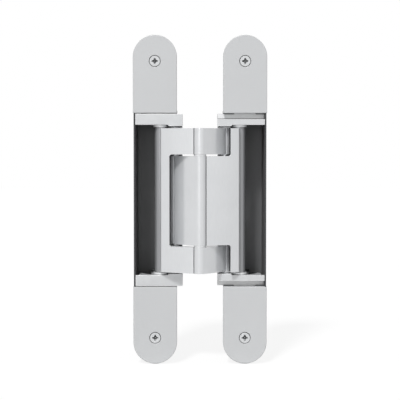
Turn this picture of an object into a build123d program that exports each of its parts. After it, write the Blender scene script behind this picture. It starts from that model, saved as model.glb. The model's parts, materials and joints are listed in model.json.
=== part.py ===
"""Concealed door hinge for heavy doors, opened to 180 degrees.

Two leaves are let into the door edge and the frame. Two arms cross on a centre pin between them. Each arm
turns on a pivot pin in one leaf, and its other end slides along a curved guide groove in the other leaf.
Millimetres. +Z is up, +Y goes into the frame, +X points away from the door. The origin is the centre of the
frame leaf's four fixing holes, on the back of its lugs, which is the step that they are screwed down on.
"""
import os
from math import asin, atan2, cos, degrees, hypot, radians, sin

from build123d import *

# Leaf
leaf_length = 240.0
leaf_width = 32.0
leaf_spacing = 65.6  # between the centrelines of the two leaves, opened
lug_step = 12.0  # from the face down to the back of a lug
body_depth = 40.5  # from the face down to the back of the trough
housing_inset = 0.5  # housing edge, inside the edge of the covers
wall = 1.1
floor_thickness = 2.2
end_wall = 3.0
trough_side = 19.4  # from the leaf's centreline to the inner side of the trough
low_wall = 12.6  # depth of the inner wall's edge, which the arms pass over
lug_floor_depth = 5.0  # from the face down to the floor of a lug
lug_rim = 1.6

# Covers and their screws
cover_length = 57.0
cover_thickness = 2.4
cover_edge = 0.35
cover_gap = 0.3  # between the straight end of a cover and the block
cover_screw_inset = 19.0  # from the rounded end of a cover
cover_screw_r = 2.0
cover_head_r = 4.1
cover_head_gap = 0.35  # between a screw's head and its countersink, radial
cover_screw_length = 7.0
cover_recess = 4.6  # across the cross recess of a cover screw
cover_boss_r = 3.6

# Fixing holes
fixing_r = 2.75
fixing_head_r = 5.1
fixing_outer_inset = 10.0  # from the rounded end of a leaf
fixing_pitch = 22.0

# Blocks
block_thickness = 8.0
block_gap = 0.1  # round the blocks, within the trough
slide_thickness = 4.1  # bearing slide of the adjustable leaf
carrier_recess = 5.2  # from the face down to the front of the carrier
block_reach = 20.1  # from the leaf's centreline to the inner end of a block
key_width = 6.0
key_height = 1.0
slide_gap = 0.35  # between a slide and its carrier
rim_step_depth = 2.0  # the groove's outer rim is narrower below this depth
rim_step = 2.3
rim_depth = 15.5  # where the groove's outer rim ends
rim_corner_r = 4.0
tongue_width = 16.0
tongue_length = 17.5
tongue_thickness = 2.4
tongue_depth = 5.2
clamp_inset = 4.2  # clamping screw, from the end of the tongue
clamp_r = 1.9
clamp_head_r = 3.2
clamp_length = 6.0
clamp_recess = 3.6  # across the cross recess of a clamping screw
slot_share = 0.25  # width of a cross recess's slots, of the recess
recess_share = 0.4  # depth of a cross recess, of its size
adjuster_inset = 11.2  # eccentric, from the end of the tongue
adjuster_r = 3.4
adjuster_throw = 0.7
adjuster_pin_r = 1.8
socket_r = 1.7  # corners of an eccentric's hexagon socket
socket_depth = 1.7

# Linkage, each place from the centre plane and from the face
pivot_x = 18.1
pivot_depth = 7.5
centre_rise = 10.0  # centre pin, in front of the face
slide_x = 29.0
slide_depth = 6.5
closed_gap = 4.0  # between the faces of the closed hinge

# Arms
tine_height = 18.9  # of each tine of the outer arm
arm_gap = 1.2  # between the tines and the tongue
barrel_r = 4.6
pivot_end_r = 3.9
slide_end_r = 4.3
web_setback = 0.2  # outer side of the web, inside the slide pin's axis
web_width = 6.6
plate_thickness = 6.0
plate_arch = 0.8
corner_depth = -2.0  # outer front corner of an arm, in front of the face
corner_r = 2.0
barrel_share = 0.92  # how far out on the barrel the plate meets it, of the radius
crease_r = 0.45
crease_depth = 0.9
window_r = 1.8
flank_arch = 1.3  # outward bow of the flank between the centre pin and the pivot
flank_inset = 0.6  # where the flank meets the pivot end, behind its front
flank_short = 1.95  # where the flank ends, short of the pivot's axis

# Pins, bushes and clearances
pin_r = 2.5
bush_wall = 0.75
pin_end = 3.0  # how far the pins reach into the blocks
flange_thickness = 1.4
flange_gap = 0.2  # between a flange and the piece that moves past it
pivot_pad_r = 4.9  # raised pad round the pivot, on the inner face of a block
pivot_pad = 1.0
pivot_flange_r = 4.7
slide_flange_r = 5.3
centre_washer_r = 4.4
centre_bush_length = 9.0
running_gap = 0.05  # a turning pin in its bore, radial
seat_gap = 0.02  # a fixed round piece in its bore, radial
guide_gap = 0.15  # a slide bush in its groove, each side
guide_spare = 3.0  # groove beyond each end of the travel, in degrees of the door's swing

# Worked out
face_y = -lug_step
centre_x = -leaf_spacing / 2
half_length = leaf_length / 2
trough_outer = leaf_width / 2 - housing_inset
pocket_top = half_length - cover_length - block_thickness - block_gap
block_top = half_length - cover_length - block_gap
trough_top = half_length - cover_length + end_wall
tongue_end = block_top + tongue_length
cover_screw_z = half_length - cover_screw_inset
fixing_outer_z = half_length - fixing_outer_inset
fixing_inner_z = fixing_outer_z - fixing_pitch
flange_top = pocket_top - pivot_pad
arm_end = flange_top - flange_thickness - flange_gap
slide_seat = pocket_top - flange_thickness - flange_gap
tine_bottom = arm_end - tine_height
tongue_top = tine_bottom - arm_gap
web_outer = slide_x - web_setback
web_inner = web_outer - web_width
pin_top = pocket_top + pin_end
bush_r = pin_r + bush_wall
arm_reach = hypot(pivot_x, centre_rise + pivot_depth)
arm_swing = 180 - degrees(atan2(centre_rise + pivot_depth, pivot_x)) - degrees(
    asin((pivot_depth + closed_gap / 2) / arm_reach)
)
centre_plane = Plane.YZ.offset(centre_x)


def front(depth):
    """The plane seen from the front at a depth below the face."""
    return Plane.XZ.offset(-(face_y + depth))


def linkage(height):
    """The plane seen from above, with its origin on the centre plane at the face."""
    return Plane((centre_x, face_y, height))


def into_leaf(point):
    """A linkage point, given on the frame leaf's side, in the part's own x and y."""
    return (centre_x + point[0], face_y + point[1])


def slide_place(share):
    """Where the inner arm's slide pin is in the frame leaf, at a share of the travel from open to closed."""
    turned = radians(arm_swing * share)
    carried = radians((180 - arm_swing) * share)
    start = atan2(-centre_rise - pivot_depth, -pivot_x)
    centre = (
        pivot_x + arm_reach * cos(start + turned),
        pivot_depth + arm_reach * sin(start + turned),
    )
    offset_x = slide_x
    offset_y = slide_depth + centre_rise
    return (
        centre[0] + offset_x * cos(carried) - offset_y * sin(carried),
        centre[1] + offset_x * sin(carried) + offset_y * cos(carried),
    )


def groove_places():
    """Points along the groove's centre line, a little past both ends of the travel."""
    spare = guide_spare / 180
    steps = 8
    return [slide_place(-spare + (1 + 2 * spare) * i / steps) for i in range(steps + 1)]


def half_round(width, start, end):
    """A plate between two heights with its far end half round, in the sketch that is open."""
    straight = end - width / 2
    with Locations((0, (start + straight) / 2)):
        Rectangle(width, straight - start)
    with Locations((0, straight)):
        Circle(width / 2)


os.makedirs("parts", exist_ok=True)


def save(piece, label):
    """Labels a finished piece and writes it."""
    piece.part.label = label
    export_step(piece.part, f"parts/{label}.step")


# Housing: a deep trough with a half-round lug at each end
def make_housing():
    with BuildPart() as housing:
        with BuildSketch(front(cover_thickness)):
            half_round(2 * trough_outer, trough_top - end_wall, half_length - housing_inset)
            mirror(about=Plane.XZ)
        extrude(amount=-(lug_step - cover_thickness))
        with BuildSketch(front(cover_thickness)):
            Rectangle(2 * trough_outer, 2 * trough_top)
            with Locations(((trough_outer - trough_side) / 2, 0)):
                Rectangle(trough_outer + trough_side, 2 * (block_top + block_gap))
        extrude(amount=-(body_depth - cover_thickness))
        with BuildSketch(front(0)):
            with Locations(((trough_outer - trough_side) / 2, 0)):
                Rectangle(trough_outer + trough_side, 2 * (block_top + block_gap))
        extrude(amount=-cover_thickness)
        trough_edges = housing.edges().filter_by(Axis.Z).group_by(Axis.Y)[-1]
        fillet(trough_edges, wall)
        # trough
        with BuildSketch(front(0)):
            with Locations(((trough_outer - trough_side) / 2, 0)):
                Rectangle(trough_outer + trough_side - 2 * wall, 2 * (block_top + block_gap))
        extrude(amount=-(body_depth - floor_thickness), mode=Mode.SUBTRACT)
        # low inner wall, which the arms pass over
        with BuildSketch(front(0)):
            with Locations((-trough_side + wall / 2, 0)):
                Rectangle(3 * wall, 2 * (block_top + block_gap))
        extrude(amount=-low_wall, mode=Mode.SUBTRACT)
        # floor of the lugs, inside their rim
        with BuildSketch(front(cover_thickness)):
            half_round(
                2 * (trough_outer - lug_rim), trough_top, half_length - housing_inset - lug_rim
            )
            mirror(about=Plane.XZ)
        extrude(amount=-(lug_floor_depth - cover_thickness), mode=Mode.SUBTRACT)
        # bay for the tongue of each block
        with BuildSketch(front(cover_thickness)):
            for end in (-1, 1):
                with Locations((0, end * (trough_top + tongue_end) / 2)):
                    Rectangle(
                        tongue_width + 2 * block_gap,
                        tongue_end - trough_top + 2 * end_wall + 2 * block_gap,
                    )
        extrude(
            amount=-(tongue_depth + tongue_thickness + block_gap - cover_thickness),
            mode=Mode.SUBTRACT,
        )
        # bosses under the cover screws
        with BuildSketch(front(cover_thickness)):
            with Locations((0, cover_screw_z), (0, -cover_screw_z)):
                Circle(cover_boss_r)
        extrude(amount=-(lug_floor_depth - cover_thickness))
        with Locations(Plane.XZ.offset(-(face_y + cover_thickness))):
            with Locations((0, cover_screw_z), (0, -cover_screw_z)):
                Hole(cover_screw_r + seat_gap)
        # fixing holes
        with Locations(front(lug_floor_depth)):
            fixing_places = [(0, z * end) for z in (fixing_outer_z, fixing_inner_z) for end in (-1, 1)]
            with Locations(*fixing_places):
                CounterSinkHole(fixing_r, fixing_head_r, counter_sink_angle=90)
        # bores for the clamping screws and the eccentrics
        with Locations(front(tongue_depth + tongue_thickness)):
            with Locations((0, tongue_end - clamp_inset), (0, clamp_inset - tongue_end)):
                Hole(clamp_r + seat_gap)
            with Locations(
                (adjuster_throw, tongue_end - adjuster_inset),
                (adjuster_throw, adjuster_inset - tongue_end),
            ):
                Hole(adjuster_pin_r + seat_gap)
    return housing


# Cover: a flat plate with a half-round end and a countersunk hole
def make_cover(end):
    with BuildPart() as cover:
        with BuildSketch(front(0)):
            half_round(leaf_width, half_length - cover_length + cover_gap, half_length)
            if end < 0:
                mirror(about=Plane.XZ, mode=Mode.REPLACE)
        extrude(amount=-cover_thickness)
        chamfer(cover.faces().sort_by(Axis.Y)[0].edges(), cover_edge)
        with Locations(front(0)):
            with Locations((0, end * cover_screw_z)):
                CounterSinkHole(
                    cover_screw_r + running_gap,
                    cover_head_r + cover_head_gap,
                    counter_sink_angle=90,
                )
    return cover


# Countersunk screw, head flush at a depth below the face
def countersunk_screw(depth, place, shank_r, head_r, length, recess):
    head = Plane((place[0], face_y + depth, place[1]), z_dir=(0, 1, 0))
    with BuildPart() as screw:
        with BuildSketch(Plane(head.origin, x_dir=(1, 0, 0), z_dir=(0, 0, 1))):
            with BuildLine():
                Polyline(
                    (0, 0),
                    (head_r, 0),
                    (shank_r, head_r - shank_r),
                    (shank_r, length),
                    (0, length),
                    close=True,
                )
            make_face()
        revolve(axis=Axis(head.origin, (0, 1, 0)))
        with BuildSketch(head):
            Rectangle(recess, recess * slot_share)
            Rectangle(recess * slot_share, recess)
        extrude(amount=recess * recess_share, mode=Mode.SUBTRACT)
    return screw


def screw_set(depth, places, shank_r, head_r, length, recess):
    """Identical screws, as one group of separate solids."""
    screws = [countersunk_screw(depth, p, shank_r, head_r, length, recess).part for p in places]
    with BuildPart() as group:
        for one in screws:
            add(one)
    return group


# Block outline from above: full width in front of the low wall, narrower behind it
def block_outline(recess):
    inner = -block_reach
    outer = trough_outer - wall - block_gap
    behind = -trough_side + wall + block_gap
    with BuildSketch() as outline:
        with BuildLine():
            Polyline(
                (inner, face_y + recess),
                (outer, face_y + recess),
                (outer, face_y + body_depth - floor_thickness - block_gap),
                (behind, face_y + body_depth - floor_thickness - block_gap),
                (behind, face_y + low_wall - block_gap),
                (inner, face_y + low_wall - block_gap),
                close=True,
            )
        make_face()
    return outline.sketch


# Guide groove with its open outer side, cut into the block's inner face
def groove_outline():
    outer = trough_outer - wall
    back = face_y + body_depth
    places = [into_leaf(p) for p in groove_places()]
    last = places[-1]
    with BuildSketch() as rim:
        with Locations((outer - rim_step, face_y + rim_depth / 2)):
            Rectangle(2 * outer, rim_depth)
        rim_side = Plane((outer - rim_step, 0), z_dir=(1, 0, 0))
        split(bisect_by=rim_side, keep=Keep.BOTTOM)
        rim_corner = rim.vertices().sort_by_distance((outer - rim_step, face_y + rim_depth))[0]
        fillet(rim_corner, rim_corner_r)
    with BuildLine() as middle:
        Spline(*places)
    with BuildSketch() as groove:
        with BuildLine():
            Spline(*places)
            Polyline(last, (last[0], back), (outer, back), (outer, face_y + rim_step_depth), places[0])
        make_face()
        add(rim.sketch, mode=Mode.SUBTRACT)
        trace(middle.line, line_width=2 * (bush_r + guide_gap))
        with Locations(places[0], places[-1]):
            Circle(bush_r + guide_gap)
    return groove.sketch


# Block with the pivot bore, the guide groove and, where it is one piece, its tongue
def make_block(end, thickness, with_tongue):
    base = end * pocket_top
    pivot = into_leaf((pivot_x, pivot_depth))
    pad_start = -block_reach
    pad_end = pivot[0] + pivot_pad_r
    with BuildPart() as block:
        with BuildSketch(Plane.XY.offset(base)):
            add(block_outline(0))
        extrude(amount=end * thickness)
        if with_tongue:
            add(make_tongue(end))
        with BuildSketch(Plane.XY.offset(base)):
            add(groove_outline())
        extrude(amount=end * (pin_end + guide_gap), mode=Mode.SUBTRACT)
        with BuildSketch(Plane.XY.offset(base)):
            with Locations(pivot):
                Circle(pivot_pad_r)
            with Locations(((pad_start + pad_end) / 2, face_y + pivot_depth / 2)):
                Rectangle(pad_end - pad_start, pivot_depth)
        extrude(amount=-end * pivot_pad)
        with BuildSketch(Plane.XY.offset(base - end * pivot_pad)):
            with Locations(pivot):
                Circle(bush_r + seat_gap)
        extrude(amount=end * (pivot_pad + pin_end + guide_gap), mode=Mode.SUBTRACT)
        if not with_tongue:
            with BuildSketch(Plane.XY.offset(base + end * thickness)):
                with Locations((-(trough_side - trough_outer) / 2, face_y + body_depth / 2)):
                    Rectangle(trough_outer + trough_side, key_width + 2 * block_gap)
            extrude(amount=-end * key_height, mode=Mode.SUBTRACT)
    return block


# Tongue of a block or carrier, under the cover, with its clamping hole
def make_tongue(end):
    with BuildPart() as tongue:
        with BuildSketch(front(tongue_depth)):
            with Locations((0, end * (block_top - 1 + tongue_end) / 2)):
                Rectangle(tongue_width, tongue_length + 1)
        extrude(amount=-tongue_thickness)
        with Locations(front(tongue_depth)):
            with Locations((0, end * (tongue_end - clamp_inset))):
                CounterSinkHole(
                    clamp_r + running_gap, clamp_head_r + running_gap, counter_sink_angle=90
                )
    return tongue.part


# Carrier of the adjustable leaf, behind the bearing slide
def make_carrier(end):
    with BuildPart() as carrier:
        front_z = pocket_top + slide_thickness + slide_gap
        with BuildSketch(Plane.XY.offset(end * front_z)):
            add(block_outline(carrier_recess))
        extrude(amount=end * (block_thickness - slide_thickness - slide_gap))
        with BuildSketch(Plane.XY.offset(end * front_z)):
            with Locations((-(trough_side - trough_outer) / 2, face_y + body_depth / 2)):
                Rectangle(trough_outer + trough_side - 4 * wall, key_width)
        extrude(amount=-end * (slide_gap + key_height - block_gap))
        add(make_tongue(end))
        with BuildSketch(front(tongue_depth)):
            with Locations((0, end * (tongue_end - adjuster_inset))):
                Circle(adjuster_r + running_gap)
        extrude(amount=-tongue_thickness, mode=Mode.SUBTRACT)
    return carrier


# Eccentric adjusters: a slotted disc in the tongue and an offset pin in the lug
def make_adjusters():
    with BuildPart() as adjusters:
        for end in (-1, 1):
            place = end * (tongue_end - adjuster_inset)
            with BuildSketch(front(tongue_depth)):
                with Locations((0, place)):
                    Circle(adjuster_r)
            extrude(amount=-tongue_thickness)
            with BuildSketch(front(tongue_depth + tongue_thickness)):
                with Locations((adjuster_throw, place)):
                    Circle(adjuster_pin_r)
            extrude(amount=-(lug_step - tongue_depth - tongue_thickness - block_gap))
            with BuildSketch(front(tongue_depth)):
                with Locations((0, place)):
                    RegularPolygon(socket_r, 6)
            extrude(amount=-socket_depth, mode=Mode.SUBTRACT)
    return adjusters


# Arm section seen from above, with its sliding end at +x and its pivot end at -x
def arm_section():
    centre = (0, -centre_rise)
    barrel_meets = barrel_r * barrel_share
    front_start = Vector(barrel_meets, -centre_rise - (barrel_r**2 - barrel_meets**2) ** 0.5)
    front_end = Vector(web_outer, corner_depth)
    along = (front_end - front_start).normalized()
    inward = Vector(-along.Y, along.X)
    middle = (front_start + front_end) * 0.5 - inward * plate_arch
    back_end = front_end - along * (web_outer - slide_x + slide_end_r) + inward * plate_thickness
    back_start = front_start + inward * plate_thickness
    pivot = Vector(-pivot_x, pivot_depth)
    across = (pivot - Vector(*centre)).normalized()
    out = Vector(-across.Y, across.X)
    flank_start = Vector(*centre) + out * barrel_r
    flank_end = pivot + out * (pivot_end_r - flank_inset) - across * flank_short
    bow = (flank_start + flank_end) * 0.5 + out * flank_arch
    with BuildSketch() as link:
        with BuildLine():
            ThreePointArc(flank_start, bow, flank_end)
            Polyline(flank_end, pivot, pivot - out * pivot_end_r, Vector(*centre) - out * barrel_r)
            Polyline(Vector(*centre) - out * barrel_r, flank_start)
        make_face()
        with Locations(centre):
            Circle(barrel_r)
        with Locations((-pivot_x, pivot_depth)):
            Circle(pivot_end_r)
    with BuildSketch() as section:
        with BuildLine():
            ThreePointArc(front_start, middle, front_end)
            Polyline(
                front_end,
                (web_outer, slide_depth),
                (slide_x, slide_depth),
                back_end,
                back_start,
                centre,
                front_start,
            )
        make_face()
        SlotCenterPoint(
            front_start, front_start + inward * crease_depth, 2 * crease_r, mode=Mode.SUBTRACT
        )
        with Locations((slide_x, slide_depth)):
            Circle(slide_end_r)
        corner = section.vertices().sort_by_distance(front_end)[0]
        fillet(corner, corner_r)
        add(link.sketch)
    return section.sketch


# Bores of an arm for its three pins
def arm_bores(pivot_side, centre_bore, pivot_bore):
    with Locations(linkage(0)):
        with Locations((0, -centre_rise)):
            Hole(centre_bore)
        with Locations((pivot_side * pivot_x, pivot_depth)):
            Hole(pivot_bore)
        with Locations((-pivot_side * slide_x, slide_depth)):
            Hole(pin_r + seat_gap)


# Inner arm: a full-height web at its sliding end and a tongue between the tines of the outer arm
def make_inner_arm():
    with BuildPart() as arm:
        with BuildSketch(linkage(-arm_end)):
            add(arm_section())
        extrude(amount=2 * arm_end)
        web_edge = centre_x + web_inner
        beyond = web_inner + pivot_x + 2 * pivot_end_r
        with BuildSketch(Plane.XZ.offset(-face_y)):
            for end in (-1, 1):
                with Locations((web_edge - beyond / 2, end * (arm_end + tongue_top) / 2)):
                    Rectangle(beyond, arm_end - tongue_top)
        extrude(amount=3 * centre_rise, both=True, mode=Mode.SUBTRACT)
        within = tongue_top + arm_gap / 2
        corners = arm.edges().filter_by(Axis.Y).filter_by_position(Axis.Z, -within, within)
        fillet(corners, window_r)
        with Locations(linkage(0)):
            with Locations((slide_x, slide_depth)):
                Cylinder(slide_end_r, 2 * slide_seat)
        arm_bores(-1, pin_r + running_gap, pin_r + running_gap)
        with Locations(linkage(tongue_top), linkage(-tongue_top)):
            with Locations((0, -centre_rise)):
                Cylinder(bush_r + seat_gap, 2 * centre_bush_length, mode=Mode.SUBTRACT)
    return arm


# Outer arm: a full-height web at its sliding end and two tines that hold the centre and pivot pins
def make_outer_arm():
    with BuildPart() as arm:
        with BuildSketch(linkage(-arm_end)):
            add(arm_section())
            mirror(about=Plane.YZ, mode=Mode.REPLACE)
        extrude(amount=2 * arm_end)
        web_edge = centre_x - web_inner
        beyond = web_inner + pivot_x + 2 * pivot_end_r
        with BuildSketch(Plane.XZ.offset(-face_y)):
            with Locations((web_edge + beyond / 2, 0)):
                Rectangle(beyond, 2 * tine_bottom)
        extrude(amount=3 * centre_rise, both=True, mode=Mode.SUBTRACT)
        within = tine_bottom + arm_gap / 2
        corners = arm.edges().filter_by(Axis.Y).filter_by_position(Axis.Z, -within, within)
        fillet(corners, window_r)
        with Locations(linkage(0)):
            with Locations((-slide_x, slide_depth)):
                Cylinder(slide_end_r, 2 * slide_seat)
        arm_bores(1, pin_r + seat_gap, pin_r + running_gap)
    return arm


# Straight pins
def make_pin(place, half):
    with BuildPart() as pin:
        with Locations(linkage(0)):
            with Locations(place):
                Cylinder(pin_r, 2 * half)
    return pin


# Flanged bushes at both ends of a pin, with the flange between the arm and the block
def make_bushes(place, flange_start, flange_r):
    flange_end = flange_start + flange_thickness
    with BuildPart() as bushes:
        for end in (-1, 1):
            with BuildSketch(linkage(end * flange_start)):
                with Locations(place):
                    Circle(flange_r)
            extrude(amount=end * flange_thickness)
            with BuildSketch(linkage(end * flange_end)):
                with Locations(place):
                    Circle(bush_r)
            extrude(amount=end * (pin_top - flange_end))
            with BuildSketch(linkage(end * flange_start)):
                with Locations(place):
                    Circle(pin_r + seat_gap)
            extrude(amount=end * (pin_top - flange_start), mode=Mode.SUBTRACT)
    return bushes


# Thin washers between the tines and the tongue
def make_centre_washers():
    with BuildPart() as washers:
        for end in (-1, 1):
            with BuildSketch(linkage(end * (tongue_top + running_gap))):
                with Locations((0, -centre_rise)):
                    Circle(centre_washer_r)
                    Circle(pin_r + seat_gap, mode=Mode.SUBTRACT)
            extrude(amount=end * (arm_gap - running_gap))
    return washers


# Plain bushes in the tongue, round the centre pin
def make_centre_bushes():
    with BuildPart() as bushes:
        for end in (-1, 1):
            with BuildSketch(linkage(end * tongue_top)):
                with Locations((0, -centre_rise)):
                    Circle(bush_r)
                    Circle(pin_r + running_gap, mode=Mode.SUBTRACT)
            extrude(amount=-end * centre_bush_length)
    return bushes


def mirrored(piece):
    """The same piece on the door leaf."""
    with BuildPart() as other:
        add(piece.part.mirror(centre_plane))
    return other


# Both leaves
housing = make_housing()
cover_places = [(0, cover_screw_z), (0, -cover_screw_z)]
clamp_places = [(0, tongue_end - clamp_inset), (0, clamp_inset - tongue_end)]
cover_screws = screw_set(
    0, cover_places, cover_screw_r, cover_head_r, cover_screw_length, cover_recess
)
clamp_screws = screw_set(
    tongue_depth, clamp_places, clamp_r, clamp_head_r, clamp_length, clamp_recess
)
pivot_place = (pivot_x, pivot_depth)
pivot_pin = make_pin(pivot_place, pin_top)
pivot_bushes = make_bushes(pivot_place, flange_top - flange_thickness, pivot_flange_r)
covers = {"top": make_cover(1), "bottom": make_cover(-1)}
shared = {
    "housing": housing,
    "cover_top": covers["top"],
    "cover_bottom": covers["bottom"],
    "cover_screws": cover_screws,
    "clamp_screws": clamp_screws,
    "pivot_pin": pivot_pin,
    "pivot_bushes": pivot_bushes,
}
for label, piece in shared.items():
    save(piece, f"frame_{label}")
    save(mirrored(piece), f"door_{label}")

# Blocks: one piece on the door leaf, slide and carrier on the adjustable frame leaf
for end, label in ((1, "top"), (-1, "bottom")):
    save(make_block(end, slide_thickness, False), f"frame_slide_{label}")
    save(make_carrier(end), f"frame_carrier_{label}")
    save(mirrored(make_block(end, block_thickness, True)), f"door_block_{label}")
save(make_adjusters(), "frame_adjusters")

# Arms and what they carry
save(make_outer_arm(), "outer_arm")
save(make_inner_arm(), "inner_arm")
save(make_pin((0, -centre_rise), arm_end), "centre_pin")
save(make_centre_washers(), "centre_washers")
save(make_centre_bushes(), "centre_bushes")
save(make_pin((-slide_x, slide_depth), pin_top), "outer_slide_pin")
save(make_bushes((-slide_x, slide_depth), slide_seat, slide_flange_r), "outer_slide_bushes")
save(make_pin((slide_x, slide_depth), pin_top), "inner_slide_pin")
save(make_bushes((slide_x, slide_depth), slide_seat, slide_flange_r), "inner_slide_bushes")

print("arm swing", round(arm_swing, 4), "coupling", round((180 - 2 * arm_swing) / arm_swing, 6))
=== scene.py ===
# Concealed door hinge, opened flat: finishes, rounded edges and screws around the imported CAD
import json
import math

import bmesh
import bpy
import numpy as np
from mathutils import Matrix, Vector


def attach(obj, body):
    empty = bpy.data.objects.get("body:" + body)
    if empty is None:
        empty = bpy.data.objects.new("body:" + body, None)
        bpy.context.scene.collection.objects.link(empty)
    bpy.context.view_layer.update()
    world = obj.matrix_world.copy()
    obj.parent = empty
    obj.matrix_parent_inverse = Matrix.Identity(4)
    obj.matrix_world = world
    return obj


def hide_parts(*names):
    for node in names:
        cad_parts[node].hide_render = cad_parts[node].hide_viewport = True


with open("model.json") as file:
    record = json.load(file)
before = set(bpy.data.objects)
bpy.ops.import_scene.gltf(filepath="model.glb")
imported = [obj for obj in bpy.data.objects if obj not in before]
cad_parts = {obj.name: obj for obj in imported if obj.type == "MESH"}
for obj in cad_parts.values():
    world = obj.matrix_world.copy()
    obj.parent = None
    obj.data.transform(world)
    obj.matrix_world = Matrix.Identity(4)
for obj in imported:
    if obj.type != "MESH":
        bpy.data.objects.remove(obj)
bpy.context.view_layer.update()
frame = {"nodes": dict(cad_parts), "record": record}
nodes = frame["nodes"]
bodyOf = {n: body for body, group in frame["record"]["behaviour"]["bodies"].items() for n in group}
print("frame loaded:", len(nodes), "nodes")

millimetre = 0.001
faceY = -12 * millimetre
centreX = -32.8 * millimetre


# Materials

blotchDetail, grainDetail = 3, 4
bevelSamples = 4
creviceSamples = 8
edgeTurn = (0.90, 0.998)  # agreement of the rounded and the true normal: at an edge, on a flat
openShare = (0.35, 0.95)  # unblocked share of the surroundings: in a crevice, in the open
# colour of the painted shade in crevices, gaps and recesses
paintedShadeColour = (0.03, 0.031, 0.033)


def newNode(tree, kind, **values):
    node = tree.nodes.new(kind)
    for name, value in values.items():
        setattr(node, name, value)
    return node


def noiseAt(tree, coordinates, scale, detail, stretch):
    # noise in object space; stretch is the frequency along each axis
    mapping = newNode(tree, "ShaderNodeMapping")
    mapping.inputs["Scale"].default_value = stretch
    noise = newNode(tree, "ShaderNodeTexNoise")
    noise.inputs["Scale"].default_value = scale
    noise.inputs["Detail"].default_value = detail
    tree.links.new(coordinates.outputs["Object"], mapping.inputs["Vector"])
    tree.links.new(mapping.outputs["Vector"], noise.inputs["Vector"])
    return noise.outputs["Fac"]


def rangeOf(tree, value, low, high, fromLow=0.3, fromHigh=0.7):
    mapRange = newNode(tree, "ShaderNodeMapRange")
    tree.links.new(value, mapRange.inputs["Value"])
    mapRange.inputs["From Min"].default_value = fromLow
    mapRange.inputs["From Max"].default_value = fromHigh
    mapRange.inputs["To Min"].default_value = low
    mapRange.inputs["To Max"].default_value = high
    return mapRange.outputs["Result"]


def mixColour(tree, factor, first, second):
    # the node's colour sockets are inputs 6 and 7 and output 2
    mix = newNode(tree, "ShaderNodeMix", data_type="RGBA")
    tree.links.new(factor, mix.inputs["Factor"])
    for socket, colour in ((mix.inputs[6], first), (mix.inputs[7], second)):
        if isinstance(colour, tuple):
            socket.default_value = (*colour, 1)
        else:
            tree.links.new(colour, socket)
    return mix.outputs[2]


def edgeShare(tree, radius):
    # how far the surface turns within a radius: 0 on flats, up to 1 on sharp edges
    bevel = newNode(tree, "ShaderNodeBevel", samples=bevelSamples)
    bevel.inputs["Radius"].default_value = radius
    geometry = newNode(tree, "ShaderNodeNewGeometry")
    dot = newNode(tree, "ShaderNodeVectorMath", operation="DOT_PRODUCT")
    tree.links.new(bevel.outputs["Normal"], dot.inputs[0])
    tree.links.new(geometry.outputs["Normal"], dot.inputs[1])
    return rangeOf(tree, dot.outputs["Value"], 1, 0, *edgeTurn)


def zoneShare(tree, coordinates, axis, origin, start, end, mirrored):
    # 0 before start and 1 past end, along one axis of object space, measured from an origin
    split = newNode(tree, "ShaderNodeSeparateXYZ")
    tree.links.new(coordinates.outputs["Object"], split.inputs["Vector"])
    away = newNode(tree, "ShaderNodeMath", operation="SUBTRACT")
    tree.links.new(split.outputs[axis], away.inputs[0])
    away.inputs[1].default_value = origin
    distance = away.outputs["Value"]
    if mirrored:
        size = newNode(tree, "ShaderNodeMath", operation="ABSOLUTE")
        tree.links.new(distance, size.inputs[0])
        distance = size.outputs["Value"]
    return rangeOf(tree, distance, 0, 1, start, end)


def creviceShare(tree, reach):
    # 1 deep in a narrow gap or corner, 0 in the open
    around = newNode(tree, "ShaderNodeAmbientOcclusion", samples=creviceSamples)
    around.inputs["Distance"].default_value = reach
    return rangeOf(tree, around.outputs["AO"], 1, 0, *openShare)


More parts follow.
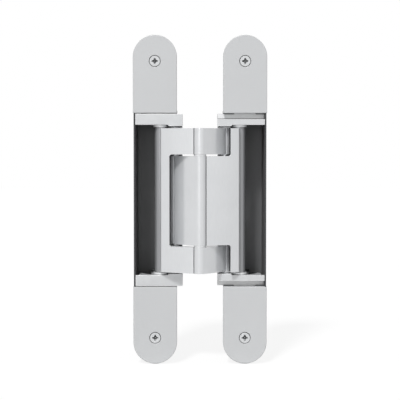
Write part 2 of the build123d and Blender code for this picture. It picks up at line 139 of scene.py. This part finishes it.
# Blotches in colour, grain or brush lines in roughness and bump, edges recoloured for wear, as
# painted highlight and, on the casting, as painted shade, and painted shade in crevices. Past each
# zone's limits the piece takes that zone's colour: painted light and shade on the housings and
# blocks, darker slide ends on the arms.
def metalFinish(name, settings):
    material = bpy.data.materials.new(name)
    material.use_nodes = True
    tree = material.node_tree
    shader = tree.nodes["Principled BSDF"]
    coordinates = newNode(tree, "ShaderNodeTexCoord")
    blotch = noiseAt(tree, coordinates, settings["blotchScale"], blotchDetail, (1, 1, 1))
    grain = noiseAt(
        tree, coordinates, settings["grainScale"], grainDetail, settings["grainStretch"]
    )
    patchy = rangeOf(tree, blotch, 0, 1)
    body = mixColour(tree, patchy, settings["colour"], settings["colourShade"])
    speckled = mixColour(
        tree, rangeOf(tree, grain, 0, settings["grainColour"]), body, settings["grainTint"]
    )
    # edges lighter for wear and as painted highlight; on the casting darker, as painted shade
    wornAndPaintedLight = newNode(tree, "ShaderNodeMath", operation="MULTIPLY")
    tree.links.new(edgeShare(tree, settings["edgeRadius"]), wornAndPaintedLight.inputs[0])
    wornAndPaintedLight.inputs[1].default_value = settings["edgeWearAndPaintedLight"]
    coloured = mixColour(tree, wornAndPaintedLight.outputs["Value"], speckled, settings["edgeWearAndPaintedLightColour"])
    for zone, zoneColour in settings.get("zones", []):
        coloured = mixColour(tree, zoneShare(tree, coordinates, *zone), coloured, zoneColour)
    # painted shade: darkens narrow gaps, creases, screw recesses and corners where shade falls
    if "paintedCreviceShade" in settings:
        reach, darkness = settings["paintedCreviceShade"]
        paintedShade = newNode(tree, "ShaderNodeMath", operation="MULTIPLY")
        tree.links.new(creviceShare(tree, reach), paintedShade.inputs[0])
        paintedShade.inputs[1].default_value = darkness
        coloured = mixColour(tree, paintedShade.outputs["Value"], coloured, paintedShadeColour)
    tree.links.new(coloured, shader.inputs["Base Color"])
    roughness = rangeOf(tree, grain, *settings["roughness"])
    tree.links.new(roughness, shader.inputs["Roughness"])
    bump = newNode(tree, "ShaderNodeBump")
    bump.inputs["Strength"].default_value = settings["bump"]
    bump.inputs["Distance"].default_value = settings["bumpHeight"]
    tree.links.new(grain, bump.inputs["Height"])
    tree.links.new(bump.outputs["Normal"], shader.inputs["Normal"])
    shader.inputs["Metallic"].default_value = settings["metallic"]
    return material


finishes = {
    "dark_casting": {
        "colour": (0.154, 0.157, 0.160), "colourShade": (0.134, 0.137, 0.140),
        # its edges painted darker than the body: painted shade
        "grainTint": (0.184, 0.187, 0.191), "edgeWearAndPaintedLightColour": (0.09, 0.092, 0.095),
        "blotchScale": 90, "grainScale": 1500, "grainStretch": (1, 1, 1), "grainColour": 0.35,
        "edgeRadius": 0.0004, "edgeWearAndPaintedLight": 0.5, "roughness": (0.42, 0.60),
        "bump": 0.35, "bumpHeight": 0.00004, "metallic": 0.25,
        "zones": [
            # painted light: lighter from 34 to 49 mm out from the middle, toward the pockets' outer
            # walls
            (("X", centreX, 0.034, 0.049, True), (0.176, 0.179, 0.183)),
            # painted shade: the front, up to 0.8 to 1.4 mm behind the face, near black
            (("Y", faceY, 0.0014, 0.0008, False), (0.045, 0.047, 0.050)),
        ],
    },
    "satin_cover": {
        "colour": (0.563, 0.572, 0.581), "colourShade": (0.548, 0.557, 0.566),
        "grainTint": (0.600, 0.608, 0.616), "edgeWearAndPaintedLightColour": (0.66, 0.665, 0.67),
        "blotchScale": 40, "grainScale": 2600, "grainStretch": (1, 1, 1), "grainColour": 0.4,
        "edgeRadius": 0.0003, "edgeWearAndPaintedLight": 0.5, "roughness": (0.40, 0.52),
        "bump": 0.12, "bumpHeight": 0.00002, "metallic": 0.1,
        "paintedCreviceShade": (0.0012, 0.9),
    },
    "silver_block": {
        "colour": (0.59, 0.60, 0.61), "colourShade": (0.55, 0.56, 0.57),
        # its edges painted near white: painted highlight
        "grainTint": (0.66, 0.67, 0.68), "edgeWearAndPaintedLightColour": (0.95, 0.955, 0.96),
        "blotchScale": 220, "grainScale": 1500, "grainStretch": (1, 1, 1), "grainColour": 0.5,
        "edgeRadius": 0.0006, "edgeWearAndPaintedLight": 0.9, "roughness": (0.34, 0.46),
        "bump": 0.25, "bumpHeight": 0.00003, "metallic": 0.3,
        "paintedCreviceShade": (0.0007, 0.8),
        # painted shade: from 16.3 to 16.8 mm behind the face on, near black
        "zones": [(("Y", faceY, 0.0163, 0.0168, False), (0.050, 0.053, 0.056))],
    },
    # painted highlight: the blocks' chamfers near white
    "painted_highlight_chamfer": {
        "colour": (0.96, 0.965, 0.97), "colourShade": (0.90, 0.905, 0.91),
        "grainTint": (0.98, 0.985, 0.99), "edgeWearAndPaintedLightColour": (0.98, 0.985, 0.99),
        "blotchScale": 220, "grainScale": 1500, "grainStretch": (1, 1, 1), "grainColour": 0.5,
        "edgeRadius": 0.0003, "edgeWearAndPaintedLight": 0.3, "roughness": (0.34, 0.46),
        "bump": 0.25, "bumpHeight": 0.00003, "metallic": 0.2,
        # painted shade: chamfers from 2 to 5 mm behind the face on go darker
        "zones": [(("Y", faceY, 0.0020, 0.0050, False), (0.30, 0.305, 0.31))],
    },
    # painted light: carriers lighter than the blocks, standing in for light reflected into their
    # recesses
    "carrier_block_painted_light": {
        "colour": (0.82, 0.825, 0.83), "colourShade": (0.76, 0.765, 0.77),
        "grainTint": (0.88, 0.885, 0.89), "edgeWearAndPaintedLightColour": (0.92, 0.925, 0.93),
        "blotchScale": 220, "grainScale": 1500, "grainStretch": (1, 1, 1), "grainColour": 0.5,
        "edgeRadius": 0.0004, "edgeWearAndPaintedLight": 0.6, "roughness": (0.40, 0.52),
        "bump": 0.25, "bumpHeight": 0.00003, "metallic": 0.1,
        "paintedCreviceShade": (0.0012, 0.9),
        # painted shade: from 16.3 to 16.8 mm behind the face on, near black
        "zones": [(("Y", faceY, 0.0163, 0.0168, False), (0.050, 0.053, 0.056))],
    },
    "silver_arm": {
        "colour": (0.67, 0.68, 0.695), "colourShade": (0.64, 0.65, 0.665),
        "grainTint": (0.72, 0.73, 0.74), "edgeWearAndPaintedLightColour": (0.84, 0.845, 0.85),
        "blotchScale": 45, "grainScale": 1700, "grainStretch": (1, 1, 0.12), "grainColour": 0.45,
        "edgeRadius": 0.0005, "edgeWearAndPaintedLight": 0.3, "roughness": (0.245, 0.26),
        "bump": 0.05, "bumpHeight": 0.00003, "metallic": 0.35,
        "paintedCreviceShade": (0.0006, 1.0),
        "zones": [(("X", centreX, 0.02885, 0.02905, True), (0.29, 0.295, 0.305))],
    },
    "plated_screw": {
        "colour": (0.64, 0.65, 0.66), "colourShade": (0.58, 0.59, 0.60),
        "grainTint": (0.70, 0.71, 0.72), "edgeWearAndPaintedLightColour": (0.80, 0.80, 0.81),
        "blotchScale": 300, "grainScale": 2400, "grainStretch": (1, 1, 1), "grainColour": 0.4,
        "edgeRadius": 0.0002, "edgeWearAndPaintedLight": 0.5, "roughness": (0.48, 0.60),
        "bump": 0.12, "bumpHeight": 0.00002, "metallic": 0.15,
        "paintedCreviceShade": (0.0024, 0.95),
    },
    "steel_pin": {
        "colour": (0.54, 0.55, 0.56), "colourShade": (0.46, 0.47, 0.48),
        "grainTint": (0.66, 0.66, 0.67), "edgeWearAndPaintedLightColour": (0.78, 0.78, 0.79),
        "blotchScale": 160, "grainScale": 1800, "grainStretch": (1, 1, 6), "grainColour": 0.5,
        "edgeRadius": 0.0003, "edgeWearAndPaintedLight": 0.5, "roughness": (0.20, 0.34),
        "bump": 0.15, "bumpHeight": 0.00002, "metallic": 0.9,
    },
    "bush_metal": {
        "colour": (0.80, 0.81, 0.82), "colourShade": (0.74, 0.75, 0.76),
        "grainTint": (0.86, 0.87, 0.88), "edgeWearAndPaintedLightColour": (0.90, 0.905, 0.91),
        "blotchScale": 200, "grainScale": 2000, "grainStretch": (1, 1, 1), "grainColour": 0.4,
        "edgeRadius": 0.0003, "edgeWearAndPaintedLight": 0.6, "roughness": (0.32, 0.46),
        "bump": 0.12, "bumpHeight": 0.00002, "metallic": 0.3,
    },
}
materials = {slot: metalFinish(slot + "_finish", settings) for slot, settings in finishes.items()}

slotOf = {
    nodeName: node.material_slots[0].material.name.split(".")[0] for nodeName, node in nodes.items()
}
print("slots:", sorted(set(slotOf.values())))
print("materials made:", len(materials))


# Rounded copies of the CAD solids

def addPiece(name, mesh, body, slotName, replaced):
    piece = bpy.data.objects.new(name, mesh)
    bpy.context.scene.collection.objects.link(piece)
    mesh.materials.clear()
    mesh.materials.append(materials[slotName])
    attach(piece, body)
    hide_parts(*replaced)
    return piece


rounding = {
    "mergeDistance": 2e-6, "flatAngle": 1.5, "edgeAngle": 32, "segments": 3, "chamferSegments": 1,
}


# The solid with its flats joined up again and every edge rounded by one radius
def roundedCopy(nodeName, radius):
    mesh = nodes[nodeName].data.copy()
    work = bmesh.new()
    work.from_mesh(mesh)
    bmesh.ops.remove_doubles(work, verts=work.verts, dist=rounding["mergeDistance"])
    flatAngle = math.radians(rounding["flatAngle"])
    bmesh.ops.dissolve_limit(work, angle_limit=flatAngle, verts=work.verts, edges=work.edges)
    work.to_mesh(mesh)
    work.free()
    for attribute in [a for a in mesh.attributes if a.name == "custom_normal"]:
        mesh.attributes.remove(attribute)
    mesh.shade_smooth()
    piece = addPiece(nodeName + "_rounded", mesh, bodyOf[nodeName], slotOf[nodeName], [nodeName])
    bevel = piece.modifiers.new("edges", "BEVEL")
    bevel.segments = rounding["segments"]
    if slotOf[nodeName] == "silver_block":  # chamfers painted near white: painted highlight
        mesh.materials.append(materials["painted_highlight_chamfer"])
        bevel.material = 1
        bevel.segments = rounding["chamferSegments"]
    # carriers take the lighter colour: painted light
    if "carrier" in nodeName:
        mesh.materials[0] = materials["carrier_block_painted_light"]
    bevel.width = radius
    bevel.limit_method = "ANGLE"
    bevel.angle_limit = math.radians(rounding["edgeAngle"])
    bevel.miter_outer = "MITER_ARC"
    weighted = piece.modifiers.new("flats", "WEIGHTED_NORMAL")
    weighted.keep_sharp = True


edgeRadii = {
    "frame_housing": 0.25, "door_housing": 0.25,
    "frame_cover_top": 0.08, "frame_cover_bottom": 0.08,
    "door_cover_top": 0.08, "door_cover_bottom": 0.08,
    "frame_slide_top": 0.5, "frame_slide_bottom": 0.5,
    "frame_carrier_top": 0.4, "frame_carrier_bottom": 0.4,
    "door_block_top": 0.8, "door_block_bottom": 0.8,
    "outer_arm": 0.3, "inner_arm": 0.3,
    "centre_washers": 0.12,
}
for nodeName, radius in edgeRadii.items():
    roundedCopy(nodeName, radius * millimetre)
for nodeName, node in nodes.items():
    if nodeName not in edgeRadii:  # the rest keep the CAD's own shape
        for place in node.material_slots:
            place.material = materials[slotOf[nodeName]]
print("rounded copies made:", len(edgeRadii))


# Turned shapes

# Quads between neighbouring rings of points; closed joins the last ring to the first
def ringQuads(rings, count, closed):
    rows = rings if closed else rings - 1
    i, j = np.meshgrid(np.arange(rows), np.arange(count), indexing="ij")
    below, beside = (i + 1) % rings, (j + 1) % count
    corners = (i * count + j, i * count + beside, below * count + beside, below * count + j)
    return np.stack(corners, -1).reshape(-1, 4)


# A smooth mesh with all its faces turned outward
def outwardMesh(name, points, faces):
    mesh = bpy.data.meshes.new(name)
    mesh.from_pydata(points.tolist(), [], faces)
    work = bmesh.new()
    work.from_mesh(mesh)
    bmesh.ops.recalc_face_normals(work, faces=work.faces)
    work.to_mesh(mesh)
    work.free()
    mesh.shade_smooth()
    return mesh


# Cover screws: a flat countersunk head with a cross recess, widened in the middle by a square

coverScrew = {
    "headRadius": 3.85, "shankRadius": 2.0, "length": 7.0, "z": 101.0, "rim": 0.12,
    "undercut": 0.08, "undercutDepth": 0.1, "pointLength": 0.5, "headRings": 46, "around": 96,
    "recessReach": 2.3, "recessWidth": 1.15, "squareReach": 2.0, "recessDepth": 1.9,
    "endEase": 0.3, "sideEase": 0.12, "squareEase": 0.25,
    "nubShare": 0.5, "nubRadius": 0.3, "nubEase": 0.6, "floorFall": 1.25,
}


def smoothStep(t):
    t = np.clip(t, 0, 1)
    return t * t * (3 - 2 * t)


# A profile turned about the screw's axis: the radius runs from the middle of the head over the rim
# and down the cone and shank to the tip. The head is sunk where the point is inside a cross or a
# square that stands on its corner. The recess's floor rises toward the cross's ends and its middle.
def screwMesh(name, centres, s):
    headRings = np.linspace(0, s["headRadius"] - s["rim"], s["headRings"])[1:]
    radial = np.concatenate([
        headRings,
        [s["headRadius"], s["headRadius"] - s["undercut"], s["shankRadius"], s["shankRadius"]],
    ])
    cone = s["headRadius"] - s["shankRadius"]
    depth = np.concatenate([
        np.zeros(len(headRings)),
        [s["rim"], s["rim"] + s["undercutDepth"], cone + s["rim"], s["length"]],
    ])
    around = np.linspace(0, 2 * np.pi, s["around"], endpoint=False)
    r, turn = np.meshgrid(radial, around, indexing="ij")
    x = r * np.cos(turn)
    z = r * np.sin(turn)
    along = np.maximum(np.abs(x), np.abs(z))
    across = np.minimum(np.abs(x), np.abs(z))
    toEnd = (s["recessReach"] - along) / s["endEase"]
    toSide = (s["recessWidth"] / 2 - across) / s["sideEase"]
    square = (s["squareReach"] - along - across) / s["squareEase"]
    inside = np.maximum(np.minimum(toEnd, toSide), square)
    nubSlope = smoothStep((r - s["nubRadius"]) / s["nubEase"])
    nub = s["nubShare"] + (1 - s["nubShare"]) * nubSlope
    fall = np.clip(s["floorFall"] - along / s["recessReach"], 0, 1)
    sunk = smoothStep(inside) * s["recessDepth"] * nub * fall
    y = depth[:, None] + np.where(depth[:, None] == 0, sunk, 0)
    rings, count = r.shape
    points = np.stack([x, y, z], axis=-1).reshape(-1, 3)
    middle = [[0, s["recessDepth"] * s["nubShare"], 0], [0, s["length"] + s["pointLength"], 0]]
    points = np.concatenate([points, middle])
    quads = ringQuads(rings, count, False)
    ring = np.arange(count)
    last = (rings - 1) * count
    topCentre, tipCentre = np.full(count, rings * count), np.full(count, rings * count + 1)
    top = np.stack([topCentre, (ring + 1) % count, ring], -1)
    tip = np.stack([tipCentre, last + ring, last + (ring + 1) % count], -1)
    allPoints, allFaces = [], []
    for n, (cx, cz) in enumerate(centres):
        start = n * len(points)
        place = np.array([cx * millimetre, faceY, cz * millimetre])
        allPoints.append(points * millimetre + place)
        allFaces += (quads + start).tolist() + (top + start).tolist() + (tip + start).tolist()
    return outwardMesh(name, np.concatenate(allPoints), allFaces)


for leaf, x in (("frame", 0.0), ("door", 2 * centreX / millimetre)):
    z = coverScrew["z"]
    mesh = screwMesh(leaf + "CoverScrews", [(x, z), (x, -z)], coverScrew)
    replaced = [leaf + "_cover_screws"]
    addPiece(leaf + "_cross_screws", mesh, leaf + "_leaf", "plated_screw", replaced)
print("cover screws made")


# Flanged bushes: a domed collar under the block's pad, and a straight disc at the slide end

pivotBush = {
    "x": 18.1, "depth": 7.5, "bore": 2.52, "tube": 3.25, "seat": 52.5, "height": 1.4,
    "tip": 57.9, "foot": 4.7, "crown": 3.7, "rise": 2.0, "lip": 0.1,
}
slideBush = {
    "x": 29.0, "depth": 6.5, "bore": 2.52, "tube": 3.25, "seat": 53.3, "height": 1.4,
    "tip": 57.9, "foot": 5.3, "crown": 5.3, "rise": 1.0, "lip": 0.1,
}
turning = {"sideSteps": 12, "around": 72, "sharpAngle": 35}


# A closed profile of radius and height, turned about each upright axis. Each axis is its x, its y
# and the way that the height counts.
def turnedMesh(name, profile, axes):
    radius, height = np.array(profile).T * millimetre
    around = np.linspace(0, 2 * np.pi, turning["around"], endpoint=False)
    r, turn = np.meshgrid(radius, around, indexing="ij")
    h = np.repeat(height[:, None], turning["around"], axis=1)
    quads = ringQuads(len(radius), turning["around"], True)
    allPoints, allFaces = [], []
    for n, (x, y, way) in enumerate(axes):
        points = np.stack([x + r * np.cos(turn), y + r * np.sin(turn), way * h], -1)
        allPoints.append(points.reshape(-1, 3))
        allFaces += (quads + n * r.size).tolist()
    mesh = outwardMesh(name, np.concatenate(allPoints), allFaces)
    mesh.set_sharp_from_angle(angle=math.radians(turning["sharpAngle"]))
    return mesh


# Bore, seat, a side that leans from foot to crown by a power of its height, and the tube
def bushProfile(b):
    share = np.linspace(0, 1, turning["sideSteps"])
    side = b["crown"] + (b["foot"] - b["crown"]) * (1 - share ** b["rise"])
    straight = b["height"] - 2 * b["lip"]
    collar = [(r, b["seat"] + b["lip"] + straight * t) for r, t in zip(side, share)]
    top = b["seat"] + b["height"]
    return [
        (b["bore"], b["seat"]), (b["foot"] - b["lip"], b["seat"]), *collar,
        (b["crown"] - b["lip"], top), (b["tube"], top), (b["tube"], b["tip"]),
        (b["bore"], b["tip"]),
    ]


for name, replaced, b, side in (
    ("frame_pivot_collars", "frame_pivot_bushes", pivotBush, 1),
    ("door_pivot_collars", "door_pivot_bushes", pivotBush, -1),
    ("outer_slide_discs", "outer_slide_bushes", slideBush, -1),
    ("inner_slide_discs", "inner_slide_bushes", slideBush, 1),
):
    x = centreX + side * b["x"] * millimetre
    y = faceY + b["depth"] * millimetre
    mesh = turnedMesh(name, bushProfile(b), [(x, y, 1), (x, y, -1)])
    addPiece(name, mesh, bodyOf[replaced], "bush_metal", [replaced])
print("bushes made")


# Stage, lights and camera

stage = {
    "floorZ": -0.1204, "floorSize": 6.0, "floorColour": (0.72, 0.72, 0.72),
    "floorRoughness": 0.9, "floorSpecular": 0.1, "cameraWhite": 0.8, "whiteStrength": 1.1,
    "lamps": {
        "softKey": {"strength": 2.35, "angle": 9, "azimuth": -20, "elevation": 51.3},
        "broadFront": {"strength": 0.52, "angle": 100, "azimuth": 3, "elevation": 0},
        "leftStrip": {"strength": 0.12, "angle": 14, "azimuth": -14, "elevation": 5},
    },
    "worldStrength": 0.25, "worldShown": 1.0,
    "cameraPlace": (-0.0328, -0.762, 0.040), "lens": 92.75, "sensor": 36,
    "aimZ": 0.012, "shiftY": -0.0407,
}


# 1 for the rays that show the background: straight, mirrored or through glass
def shownShare(tree):
    rays = newNode(tree, "ShaderNodeLightPath")
    seen = rays.outputs["Is Camera Ray"]
    for kind in ("Is Glossy Ray", "Is Transmission Ray"):
        either = newNode(tree, "ShaderNodeMath", operation="MAXIMUM")
        tree.links.new(seen, either.inputs[0])
        tree.links.new(rays.outputs[kind], either.inputs[1])
        seen = either.outputs["Value"]
    return seen


floorMesh = bpy.data.meshes.new("paleFloor")
half = stage["floorSize"] / 2
corners = ((-half, -half), (half, -half), (half, half), (-half, half))
floorMesh.from_pydata([(x, y, stage["floorZ"]) for x, y in corners], [], [(0, 1, 2, 3)])
floor = bpy.data.objects.new("paleFloor", floorMesh)
bpy.context.scene.collection.objects.link(floor)

floorMaterial = bpy.data.materials.new("pale_floor")
floorMaterial.use_nodes = True
tree = floorMaterial.node_tree
shader = tree.nodes["Principled BSDF"]
shader.inputs["Base Color"].default_value = (*stage["floorColour"], 1)
shader.inputs["Roughness"].default_value = stage["floorRoughness"]
shader.inputs["Specular IOR Level"].default_value = stage["floorSpecular"]
white = newNode(tree, "ShaderNodeEmission")
white.inputs["Strength"].default_value = stage["whiteStrength"]
share = newNode(tree, "ShaderNodeMath", operation="MULTIPLY")
share.inputs[1].default_value = stage["cameraWhite"]
tree.links.new(shownShare(tree), share.inputs[0])
blend = newNode(tree, "ShaderNodeMixShader")
tree.links.new(share.outputs["Value"], blend.inputs["Fac"])
tree.links.new(shader.outputs["BSDF"], blend.inputs[1])
tree.links.new(white.outputs["Emission"], blend.inputs[2])
tree.links.new(blend.outputs["Shader"], tree.nodes["Material Output"].inputs["Surface"])
floorMesh.materials.append(floorMaterial)

world = bpy.data.worlds.new("studio")
world.use_nodes = True
bpy.context.scene.world = world
tree = world.node_tree
background = tree.nodes["Background"]
background.inputs["Color"].default_value = (1, 1, 1, 1)
strength = newNode(tree, "ShaderNodeMapRange")
strength.inputs["To Min"].default_value = stage["worldStrength"]
strength.inputs["To Max"].default_value = stage["worldShown"]
tree.links.new(shownShare(tree), strength.inputs["Value"])
tree.links.new(strength.outputs["Result"], background.inputs["Strength"])


# A distant soft lamp, its angles in degrees; azimuth 0 shines from in front, negative from the left
def addSun(name, strength, angle, azimuth, elevation):
    data = bpy.data.lights.new(name, "SUN")
    data.energy = strength
    data.angle = math.radians(angle)
    lamp = bpy.data.objects.new(name, data)
    bpy.context.scene.collection.objects.link(lamp)
    a, e = math.radians(azimuth), math.radians(elevation)
    towards = Vector((-math.sin(a) * math.cos(e), math.cos(a) * math.cos(e), -math.sin(e)))
    lamp.rotation_mode = "QUATERNION"
    lamp.rotation_quaternion = towards.to_track_quat("-Z", "Y")


for name, lamp in stage["lamps"].items():
    addSun(name, **lamp)

cameraData = bpy.data.cameras.new("camera")
cameraData.lens = stage["lens"]
cameraData.sensor_width = stage["sensor"]
camera = bpy.data.objects.new("camera", cameraData)
bpy.context.scene.collection.objects.link(camera)
camera.location = stage["cameraPlace"]
cameraData.shift_y = stage["shiftY"]
aim = Vector((centreX, faceY, stage["aimZ"]))
camera.rotation_mode = "QUATERNION"
camera.rotation_quaternion = (aim - camera.location).to_track_quat("-Z", "Y")
bpy.context.scene.camera = camera
bpy.context.scene.view_settings.view_transform = "Standard"
print("stage, lights and camera set")
